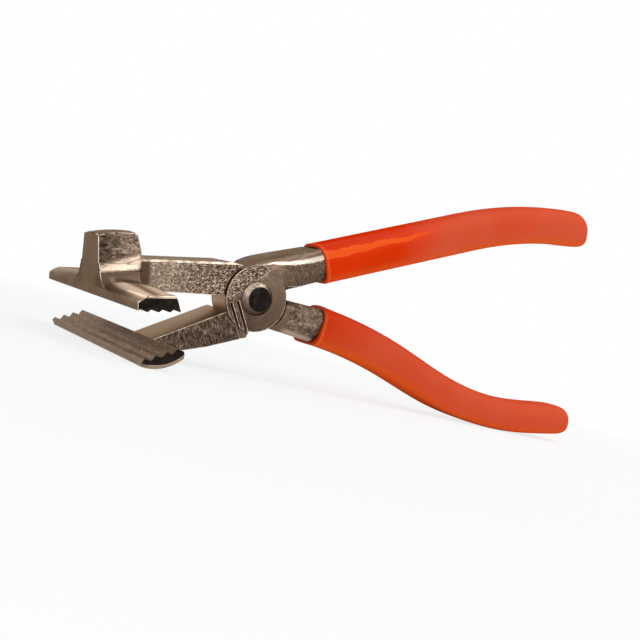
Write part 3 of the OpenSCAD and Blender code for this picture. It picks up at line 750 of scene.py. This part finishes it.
# %% Orange vinyl
def dipped_vinyl(name, turn, mouth, heading, rubbed_from, tone, run=None):
    """The coat's finish. It is rubbed from about rubbed_from mm past the mouth, and run, where there is
    one, is the line of the painted highlight streak."""
    r = Recipe(name)
    here = r.place(turn)
    x, _, z = r.parts(here)
    past = past_mouth(r, x, z, mouth, heading)
    waves = r.noise(r.stretched(here, (0.45, 1.0, 1.0)), 0.085, 2.0, 0.5)
    skin = r.noise(here, 1.3, 3.0, 0.55)
    blotch = r.noise(here, 0.045, 3.0, 0.55)
    slanted_border = r.slanted(r.slanted(past, z, -1.1), blotch, 16.0)
    worn_and_highlight = r.span(slanted_border, rubbed_from, rubbed_from + RUBBED_WITHIN)
    vivid = r.mix(r.fade(waves, 0.35, 0.7), tone, tuple(c * 1.1 for c in tone))
    rubbed_and_highlight = r.mix(r.fade(blotch, 0.35, 0.7, 0.7, 1.0), vivid, RUBBED_ORANGE)
    colour = r.mix(worn_and_highlight, vivid, rubbed_and_highlight)
    if run:
        colour = paint_streak(r, colour, past, z, here, waves, run)

    # Painted light: faces that look down are lifted to a lighter orange against their shade.
    facing_up = r.parts(r.node("ShaderNodeTexCoord").outputs["Normal"])[2]
    colour = r.mix(r.fade(facing_up, -0.9, 0.1, 0.7, 0.0), colour, BELLY_ORANGE)
    colour = r.mix(r.between(past, 0.5, 1.3, 0.4), colour, r.mix(0.5, colour, RIM_ORANGE))
    cut_lip = r.both(r.drop(past, 0.0, 0.3), 0.4)
    r.shade("Base Color", r.mix(cut_lip, colour, LIP_SHADE))
    r.shade("Roughness", r.slanted(r.fade(worn_and_highlight, 0.0, 1.0, 0.3, 0.52), skin, 0.06))

    # The white room would turn the coat's rim pink, so the gloss gives way at a low angle.
    rimward = r.node("ShaderNodeLayerWeight").outputs["Facing"]
    r.shade("IOR", 1.3)
    r.shade("Specular IOR Level", r.fade(rimward, 0.25, 0.75, 0.2, 0.0))
    r.shade("Specular Tint", (1.0, 0.5, 0.25))
    r.shade("Normal", r.bump(r.slanted(r.both(waves, 5.0), skin, 0.12), 0.1))
    return r.material


upper_vinyl = dipped_vinyl(
    "dipped_vinyl_upper", FRONT_TURN, UPPER_MOUTH, UPPER_HEADING, 34, (0.7, 0.031, 0.0003),
    [(0.0, 7.4), (10.0, 6.75), (20.0, 6.3), (30.0, 5.95), (45.0, 5.75)])
lower_vinyl = dipped_vinyl(
    "dipped_vinyl_lower", REAR_TURN, LOWER_MOUTH, LOWER_HEADING, 20, (0.62, 0.036, 0.003))
print("grips' finishes:", upper_vinyl.name, lower_vinyl.name)

# %% [markdown]
# Working on a copy
#
# The frame's solids are exact, but each mesh is loose triangles, and it must stay as it is. So a
# copy of each solid is merged into one skin, takes the solid's place and rides on its lever.

# %% Selecting nothing
WELD = 0.004


def start_clean():
    """Leaves edit mode and deselects everything, so an operator acts only on what comes next."""
    if bpy.context.mode != "OBJECT":
        bpy.ops.object.mode_set(mode="OBJECT")
    bpy.ops.object.select_all(action="DESELECT")


def pick(piece):
    start_clean()
    piece.select_set(True)
    bpy.context.view_layer.objects.active = piece


def edit_all(piece):
    """Enters edit mode with the whole piece selected."""
    pick(piece)
    bpy.ops.object.mode_set(mode="EDIT")
    bpy.ops.mesh.select_all(action="SELECT")


def apply_all(piece):
    pick(piece)
    for modifier in list(piece.modifiers):
        bpy.ops.object.modifier_apply(modifier=modifier.name)


# %% Copying a solid
def merged_copy(node_name, piece_name, body, finishes):
    """A copy of one of the frame's solids, merged into a proper mesh, that stands for it."""
    mesh = frame["nodes"][node_name].data.copy()
    mesh.materials.clear()
    for finish in finishes:
        mesh.materials.append(finish)
    piece = bpy.data.objects.new(piece_name, mesh)
    bpy.context.scene.collection.objects.link(piece)
    edit_all(piece)
    bpy.ops.mesh.remove_doubles(threshold=WELD * MM)
    bpy.ops.object.mode_set(mode="OBJECT")
    for polygon in mesh.polygons:
        polygon.material_index = 0
    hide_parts(node_name)
    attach(piece, body)
    return piece


def join_flats(piece):
    """Joins the triangles of each flat face again."""
    edit_all(piece)
    bpy.ops.mesh.dissolve_limited(angle_limit=radians(1.0))
    bpy.ops.object.mode_set(mode="OBJECT")


# %% [markdown]
# The castings
#
# The corners of the frame's levers are knife sharp, and a casting's are always a little round.
# So a bevel rounds the outward edges that turn by more than about thirty degrees. The teeth stay sharp,
# and so does the upper shank, which flows out of the disc. The bevel's own faces take the second
# material, the bright worn edge with its painted highlight, and the jaw's two ends take the third, their
# painted dark reflection.

# %% Choosing the edges to round
SHARP = radians(32)
NARROW = 0.2


def stays_sharp(at, is_front):
    """Whether a place, in a lever's own frame, is on the teeth or on the upper shank."""
    on_teeth = at.x < -35 and abs(at.z) < 1.9
    on_shank = at.x > 4 and at.z > 3
    on_disc_top = at.x > -3 and at.z > 10.25
    return on_teeth or is_front and (on_shank or on_disc_top)


def mark_sharp_edges(piece, turn, is_front):
    """Gives a bevel weight to the sharp outward edges between wide faces."""
    to_lever = Matrix.Rotation(radians(-turn), 4, "Y") @ Matrix.Translation(-pivot)
    rows = bmesh.new()
    rows.from_mesh(piece.data)
    weight = rows.edges.layers.float.new("bevel_weight_edge")
    count = 0
    for edge in rows.edges:
        if len(edge.link_faces) != 2 or not edge.is_convex or edge.calc_face_angle() < SHARP:
            continue
        middle = to_lever @ ((edge.verts[0].co + edge.verts[1].co) / 2) / MM
        widths = [face.calc_area() / max(e.calc_length() for e in face.edges) for face in edge.link_faces]
        if stays_sharp(middle, is_front) or min(widths) < NARROW * MM:
            continue
        edge[weight] = 1.0
        count += 1
    rows.to_mesh(piece.data)
    rows.free()
    print(piece.name, count, "edges to round")


# %% Rounding a lever's edges
EDGE_ROUND = 0.22


def casting(node_name, piece_name, body, iron, edge, turn):
    """A lever with its flat faces joined, its edges rounded and its jaw's ends darkened."""
    piece = merged_copy(node_name, piece_name, body, (iron, edge, dark_end))
    join_flats(piece)
    mark_sharp_edges(piece, turn, node_name == "front_lever")
    bevel = piece.modifiers.new("rounded edges", "BEVEL")
    bevel.limit_method = "WEIGHT"
    bevel.width = EDGE_ROUND * MM
    bevel.segments = 2
    bevel.material = 1
    bevel.use_clamp_overlap = False
    apply_all(piece)
    for polygon in piece.data.polygons:
        faces_sideways = abs(polygon.normal.y) > 0.99
        at_jaw_end = abs(polygon.center.y) > (JAW_END - 0.5) * MM
        if faces_sideways and at_jaw_end:
            polygon.material_index = 2
    bpy.ops.object.shade_smooth_by_angle(angle=radians(34))
    print(piece_name, len(piece.data.polygons), "faces")
    return piece


casting("front_lever", "front_casting", "front", front_iron, front_edge, FRONT_TURN)
rear_casting = casting("rear_lever", "rear_casting", "rear", rear_iron, rear_edge, REAR_TURN)

# %% [markdown]
# The arm's chamfer
#
# The upper arm was filed along its two long top edges. Those two narrow slanted faces are worn like the
# rounds and catch the same line of light, a painted highlight, so they take the edge's finish too.

# %% Bright chamfers
def brighten_chamfers(piece, turn):
    """Gives the small slanted faces along the arm's top the edge's finish."""
    to_lever = Matrix.Rotation(radians(-turn), 3, "Y")
    count = 0
    for polygon in piece.data.polygons:
        way = to_lever @ polygon.normal
        where = to_lever @ (polygon.center - pivot) / MM
        is_slanted = way.z > 0.5 and abs(way.y) > 0.5 and polygon.area < 40 * MM * MM
        on_arm_top = -39 < where.x < -3 and where.z > 9
        if is_slanted and on_arm_top:
            polygon.material_index = 1
            count += 1
    print(count, "chamfer faces brightened")


brighten_chamfers(rear_casting, REAR_TURN)

# %% [markdown]
# The rivet
#
# The frame's rivet has the right shape, a shank with a cone at each end. A small round on its
# edges is all that it needs before it takes its finish.

# %% Dressing the rivet
RIM_ROUND = 0.25

rivet = merged_copy("pivot_rivet", "rivet", "front", (dark_steel,))
join_flats(rivet)
rim = rivet.modifiers.new("rounded rim", "BEVEL")
rim.limit_method = "ANGLE"
rim.angle_limit = radians(25)
rim.width = RIM_ROUND * MM
rim.segments = 3
apply_all(rivet)
bpy.ops.object.shade_smooth_by_angle(angle=radians(40))
print("rivet", len(rivet.data.polygons), "faces")

# %% [markdown]
# The grips
#
# Dipped vinyl has no sharp line anywhere but at the cut of its mouth. The frame's grips are
# skinned with short flat facets where they bend and long ones where they run straight. So each
# copy is turned into quads and subdivided once, which gives the coat the soft flow of a liquid
# that has set. The upper grip starts with a long straight run, which is cut across every few
# millimetres first, so that its facets are as short there as in the bend.

# %% Softening the grips
STRAIGHT_RUN_CUTS = range(5, 62, 4)


def soft_grip(node_name, piece_name, body, finish, turn, mouth, heading, cuts):
    """A grip's smooth coat. It is cut across at each place in cuts, in mm past the mouth."""
    piece = merged_copy(node_name, piece_name, body, (finish,))
    lever = lever_matrix(turn)
    way = Vector((cos(radians(heading)), 0, sin(radians(heading))))
    edit_all(piece)
    bpy.ops.mesh.tris_convert_to_quads(face_threshold=radians(40), shape_threshold=radians(60))
    for at in cuts:
        bpy.ops.mesh.select_all(action="SELECT")
        place = lever @ (Vector((mouth[0], 0, mouth[1])) + way * at)
        bpy.ops.mesh.bisect(plane_co=place, plane_no=(lever.to_3x3() @ way).normalized())
    bpy.ops.object.mode_set(mode="OBJECT")
    soften = piece.modifiers.new("soft coat", "SUBSURF")
    soften.levels = 1
    soften.render_levels = 1
    apply_all(piece)
    bpy.ops.object.shade_smooth_by_angle(angle=radians(50))
    print(piece_name, len(piece.data.polygons), "faces")


soft_grip("upper_grip", "upper_coat", "front", upper_vinyl,
          FRONT_TURN, UPPER_MOUTH, UPPER_HEADING, STRAIGHT_RUN_CUTS)
soft_grip("lower_grip", "lower_coat", "rear", lower_vinyl,
          REAR_TURN, LOWER_MOUTH, LOWER_HEADING, ())

# %% [markdown]
# Studio
#
# The tool stands on a pale floor in an even white room. A large soft lamp hangs overhead and a
# narrower one stands to the right of the camera, where the near shoulders of the shank and of
# the grips reflect it as a long streak. A weak one fills in from the left. The camera and the
# reflections see plain white, and what lights a dull surface is only about half as strong.

# %% Seeing white
def seen_directly(nodes):
    """A value of 1 for rays from the camera, reflections and clear materials, else 0."""
    paths = nodes.node("ShaderNodeLightPath")
    through = nodes.calc("MAXIMUM", paths.outputs["Is Glossy Ray"], paths.outputs["Is Transmission Ray"])
    return nodes.calc("MAXIMUM", paths.outputs["Is Camera Ray"], through)


# %% Floor
def studio_floor():
    """A pale floor that keeps the shadow near the tool and turns plain white farther off."""
    start_clean()
    bpy.ops.mesh.primitive_plane_add(size=8, location=(0, 0, 0))
    floor = bpy.context.object
    floor.name = "floor"
    r = Recipe("pale_floor")
    r.shade("Base Color", (0.88, 0.88, 0.88))
    r.shade("Roughness", 0.9)
    r.shade("Specular IOR Level", 0.1)
    away = r.node("ShaderNodeVectorMath", operation="LENGTH")
    r.feed(away.inputs[0], r.node("ShaderNodeTexCoord").outputs["Object"])
    plain = r.fade(away.outputs["Value"], 0.14, 0.38, 0.78, 1.0)
    white = r.node("ShaderNodeEmission")
    white.inputs["Strength"].default_value = 1.0
    both = r.node("ShaderNodeMixShader")
    r.feed(both.inputs[0], r.both(plain, seen_directly(r)))
    r.feed(both.inputs[1], r.shader.outputs[0])
    r.feed(both.inputs[2], white.outputs[0])
    r.feed(r.tree.nodes["Material Output"].inputs["Surface"], both.outputs[0])
    floor.data.materials.append(r.material)
    return floor


print("stage:", studio_floor().name)

# %% Lamps
def soft_lamp(name, way, distance, width, height, power):
    """A rectangular lamp that looks at the tool from a direction."""
    light = bpy.data.lights.new(name, "AREA")
    light.shape = "RECTANGLE"
    light.size = width
    light.size_y = height
    light.energy = power
    lamp = bpy.data.objects.new(name, light)
    way = Vector(way).normalized()
    lamp.location = way * distance
    lamp.rotation_euler = way.to_track_quat("Z", "Y").to_euler()
    bpy.context.scene.collection.objects.link(lamp)
    print("lamp", name, "at", [round(v, 2) for v in lamp.location])


soft_lamp("overhead", (0.35, -0.15, 0.92), 0.75, 0.42, 0.42, 1.7)
soft_lamp("streak", (0.33, -0.8, 0.5), 0.8, 0.3, 0.12, 0.9)
soft_lamp("fill", (-0.8, -0.5, 0.5), 0.9, 0.35, 0.35, 0.7)

# %% White room
ROOM_LIGHT = 0.55
PLAIN_WHITE = 1.0

world = bpy.data.worlds.new("white_room")
bpy.context.scene.world = world
world.use_nodes = True
world.node_tree.nodes.clear()
sky = Nodes(world.node_tree)
blend = sky.node("ShaderNodeMixShader")
sky.feed(blend.inputs[0], seen_directly(sky))
for socket, strength in ((blend.inputs[1], ROOM_LIGHT), (blend.inputs[2], PLAIN_WHITE)):
    wall = sky.node("ShaderNodeBackground")
    wall.inputs["Color"].default_value = (1, 1, 1, 1)
    wall.inputs["Strength"].default_value = strength
    sky.feed(socket, wall.outputs[0])
sky.feed(sky.node("ShaderNodeOutputWorld").inputs[0], blend.outputs[0])
print("room light", ROOM_LIGHT, "and seen white", PLAIN_WHITE)
